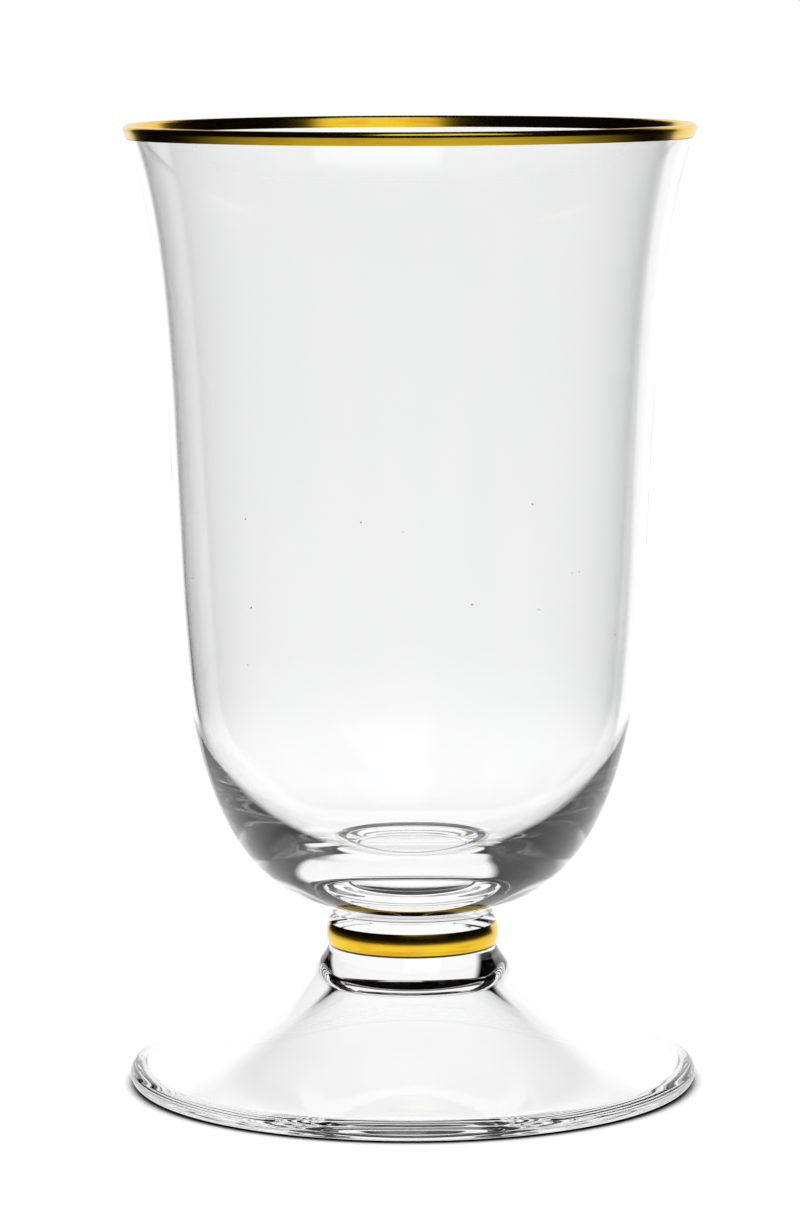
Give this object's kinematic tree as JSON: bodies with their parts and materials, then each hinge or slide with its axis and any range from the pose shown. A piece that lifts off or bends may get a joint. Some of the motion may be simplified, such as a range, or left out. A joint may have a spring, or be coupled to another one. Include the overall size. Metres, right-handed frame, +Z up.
{
  "type": "footed tumbler",
  "caption": "Clear blown-glass footed tumbler with a deep flared bowl on a short stem and a hollow spreading foot, gilded at the lip and round the stem.",
  "frame": {"origin": "centre of the ring that the foot stands on, on the table's surface", "axes": "+Z up along the axis that every piece is turned about; +X and +Y are any two square directions across it"},
  "size_m": [0.0906, 0.0906, 0.153],
  "materials": {
    "bowl_glass": "clear, fire polished",
    "stem_glass": "clear, fire polished",
    "foot_glass": "clear, fire polished",
    "rim_gold": "bright fired gold",
    "stem_gold": "bright fired gold"
  },
  "bodies": {
    "root": {"bowl": "bowl_glass", "stem": "stem_glass", "foot": "foot_glass", "rim_gilding": "rim_gold", "stem_gilding": "stem_gold"}
  },
  "joints": []
}
